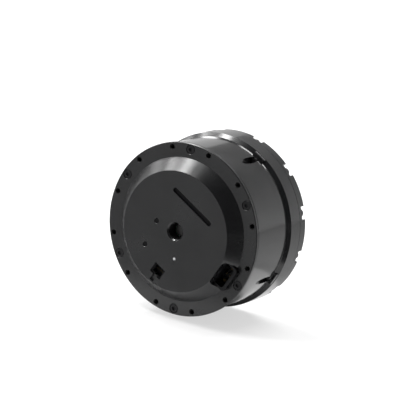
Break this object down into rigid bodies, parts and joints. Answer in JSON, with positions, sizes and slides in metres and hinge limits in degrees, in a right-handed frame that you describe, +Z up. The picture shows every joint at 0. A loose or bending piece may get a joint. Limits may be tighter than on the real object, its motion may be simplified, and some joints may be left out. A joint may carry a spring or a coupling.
{
  "type": "robot joint actuator",
  "caption": "Round robot joint actuator: brushless motor, driver board and single-stage planetary gear set in a dark anodised housing, with a turning output flange.",
  "frame": {"origin": "centre of the output flange's face, on the axis of rotation", "axes": "+Y out of the output flange along the axis of rotation, +Z up, +X to the right seen from the rear cover"},
  "size_m": [0.091, 0.0545, 0.091],
  "materials": {
    "anodised_cover": "dark grey anodised aluminium, fine bead-blasted",
    "anodised_body": "dark grey anodised aluminium, smooth and fairly glossy",
    "anodised_ring": "dark grey anodised aluminium, satin",
    "black_steel": "blackened alloy steel screws",
    "smoked_window": "smoked polycarbonate window over the light bar",
    "milk_lens": "milky status lens",
    "black_nylon": "glass-filled black nylon",
    "gold_contacts": "gold-plated contacts",
    "solder_mask": "green solder mask on fibreglass",
    "chip_epoxy": "black moulded epoxy",
    "copper_wire": "enamelled copper wire",
    "lamination_steel": "stacked silicon steel and turned mild steel",
    "bearing_steel": "ground bearing steel",
    "gear_steel": "hardened gear steel, ground flanks",
    "zinc_steel": "zinc-plated steel",
    "magnet_nickel": "nickel-plated neodymium",
    "bronze_bush": "sintered bronze",
    "machined_aluminium": "dark anodised machined aluminium",
    "seal_rubber": "black nitrile rubber"
  },
  "bodies": {
    "housing": {"rear_cover": "anodised_cover", "cover_screws": "black_steel", "light_bar": "smoked_window", "status_light": "milk_lens", "service_plugs": "seal_rubber", "power_connector": "black_nylon", "power_pins": "gold_contacts", "signal_connector": "black_nylon", "signal_pins": "gold_contacts", "driver_board": "solder_mask", "board_screws": "zinc_steel", "board_chips": "chip_epoxy", "phase_leads": "copper_wire", "motor_housing": "anodised_body", "side_screws": "black_steel", "stator_core": "lamination_steel", "stator_coils": "copper_wire", "rear_bearing_outer": "bearing_steel", "front_bearing_outer": "bearing_steel", "gear_housing": "anodised_ring", "ring_gear": "gear_steel", "front_cap": "anodised_ring", "cap_screws": "black_steel", "output_bearing_outer": "bearing_steel", "shaft_seal": "seal_rubber"},
    "output": {"output_flange": "machined_aluminium", "output_plug": "machined_aluminium", "carrier_screws": "black_steel", "planet_carrier": "gear_steel", "planet_pins": "bearing_steel", "output_bearing_inner": "bearing_steel"},
    "rotor": {"rotor_shaft": "bearing_steel", "encoder_magnet": "magnet_nickel", "sun_gear": "gear_steel", "rotor_hub": "lamination_steel", "rotor_magnets": "magnet_nickel", "rear_bearing_inner": "bearing_steel", "front_bearing_inner": "bearing_steel"},
    "planet_1": {"planet_gear_1": "gear_steel", "planet_bush_1": "bronze_bush"},
    "planet_2": {"planet_gear_2": "gear_steel", "planet_bush_2": "bronze_bush"},
    "planet_3": {"planet_gear_3": "gear_steel", "planet_bush_3": "bronze_bush"},
    "rollers": {"bearing_rollers": "bearing_steel", "roller_cage": "bronze_bush"},
    "rear_balls": {"rear_bearing_balls": "bearing_steel"},
    "front_balls": {"front_bearing_balls": "bearing_steel"}
  },
  "joints": [
    {"name": "output_spin", "type": "hinge", "parent": "housing", "child": "output", "pos_m": [0, 0, 0], "axis": [0, 1, 0], "continuous": true},
    {"name": "rotor_spin", "type": "hinge", "parent": "housing", "child": "rotor", "pos_m": [0, 0, 0], "axis": [0, 1, 0], "continuous": true},
    {"name": "planet_1_spin", "type": "hinge", "parent": "output", "child": "planet_1", "pos_m": [0, 0, 0.0195], "axis": [0, 1, 0], "continuous": true},
    {"name": "planet_2_spin", "type": "hinge", "parent": "output", "child": "planet_2", "pos_m": [-0.01689, 0, -0.00975], "axis": [0, 1, 0], "continuous": true},
    {"name": "planet_3_spin", "type": "hinge", "parent": "output", "child": "planet_3", "pos_m": [0.01689, 0, -0.00975], "axis": [0, 1, 0], "continuous": true},
    {"name": "rollers_spin", "type": "hinge", "parent": "housing", "child": "rollers", "pos_m": [0, 0, 0], "axis": [0, 1, 0], "continuous": true},
    {"name": "rear_balls_spin", "type": "hinge", "parent": "housing", "child": "rear_balls", "pos_m": [0, 0, 0], "axis": [0, 1, 0], "continuous": true},
    {"name": "front_balls_spin", "type": "hinge", "parent": "housing", "child": "front_balls", "pos_m": [0, 0, 0], "axis": [0, 1, 0], "continuous": true}
  ],
  "couplings": [
    {"joint": "rotor_spin", "follows": "output_spin", "ratio": 6.5},
    {"joint": "planet_1_spin", "follows": "output_spin", "ratio": -2.4444},
    {"joint": "planet_2_spin", "follows": "output_spin", "ratio": -2.4444},
    {"joint": "planet_3_spin", "follows": "output_spin", "ratio": -2.4444},
    {"joint": "rollers_spin", "follows": "output_spin", "ratio": 0.485},
    {"joint": "rear_balls_spin", "follows": "output_spin", "ratio": 2.7345},
    {"joint": "front_balls_spin", "follows": "output_spin", "ratio": 2.797}
  ]
}
